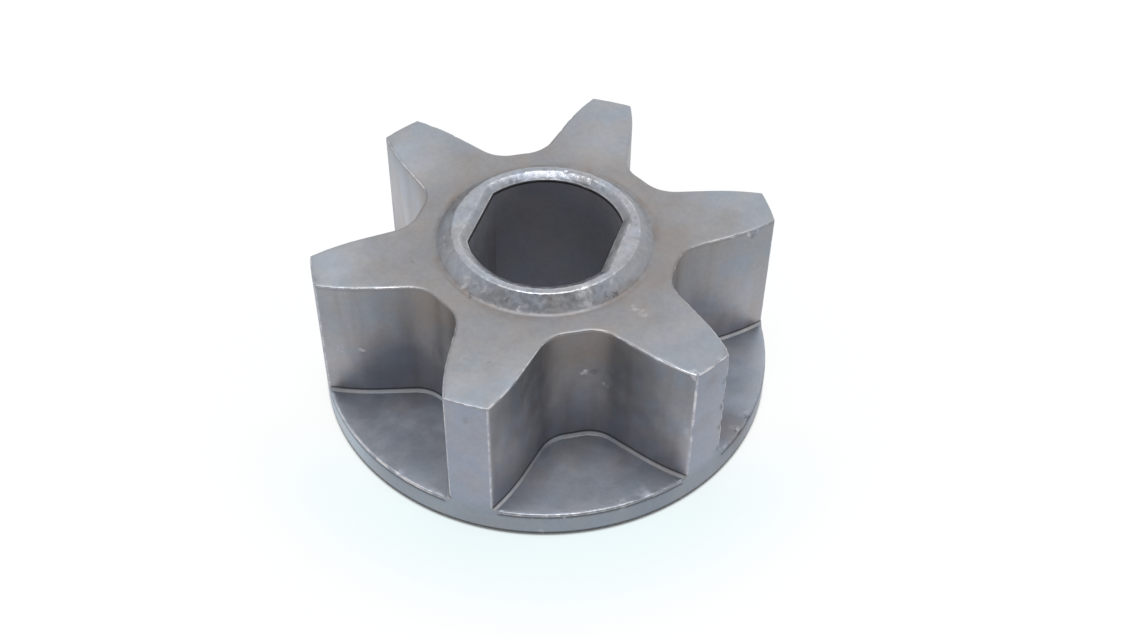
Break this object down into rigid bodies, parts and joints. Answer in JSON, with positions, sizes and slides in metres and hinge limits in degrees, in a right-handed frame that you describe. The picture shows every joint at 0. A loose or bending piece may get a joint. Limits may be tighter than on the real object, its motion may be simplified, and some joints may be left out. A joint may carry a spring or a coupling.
{
  "type": "chainsaw sprocket",
  "caption": "Chainsaw drive sprocket of sintered steel: upright drive teeth on a round flange, with a raised collar round a double-D shaft bore.",
  "frame": {"origin": "centre of the bore at the back face of the flange", "axes": "+Z along the bore towards the collar; +Y along a tooth; X across the bore flats"},
  "size_m": [0.036, 0.036, 0.0148],
  "materials": {
    "sintered_steel": "satin bare sintered steel, worn bright along the edges"
  },
  "bodies": {
    "root": {"sprocket": "sintered_steel"}
  },
  "joints": []
}
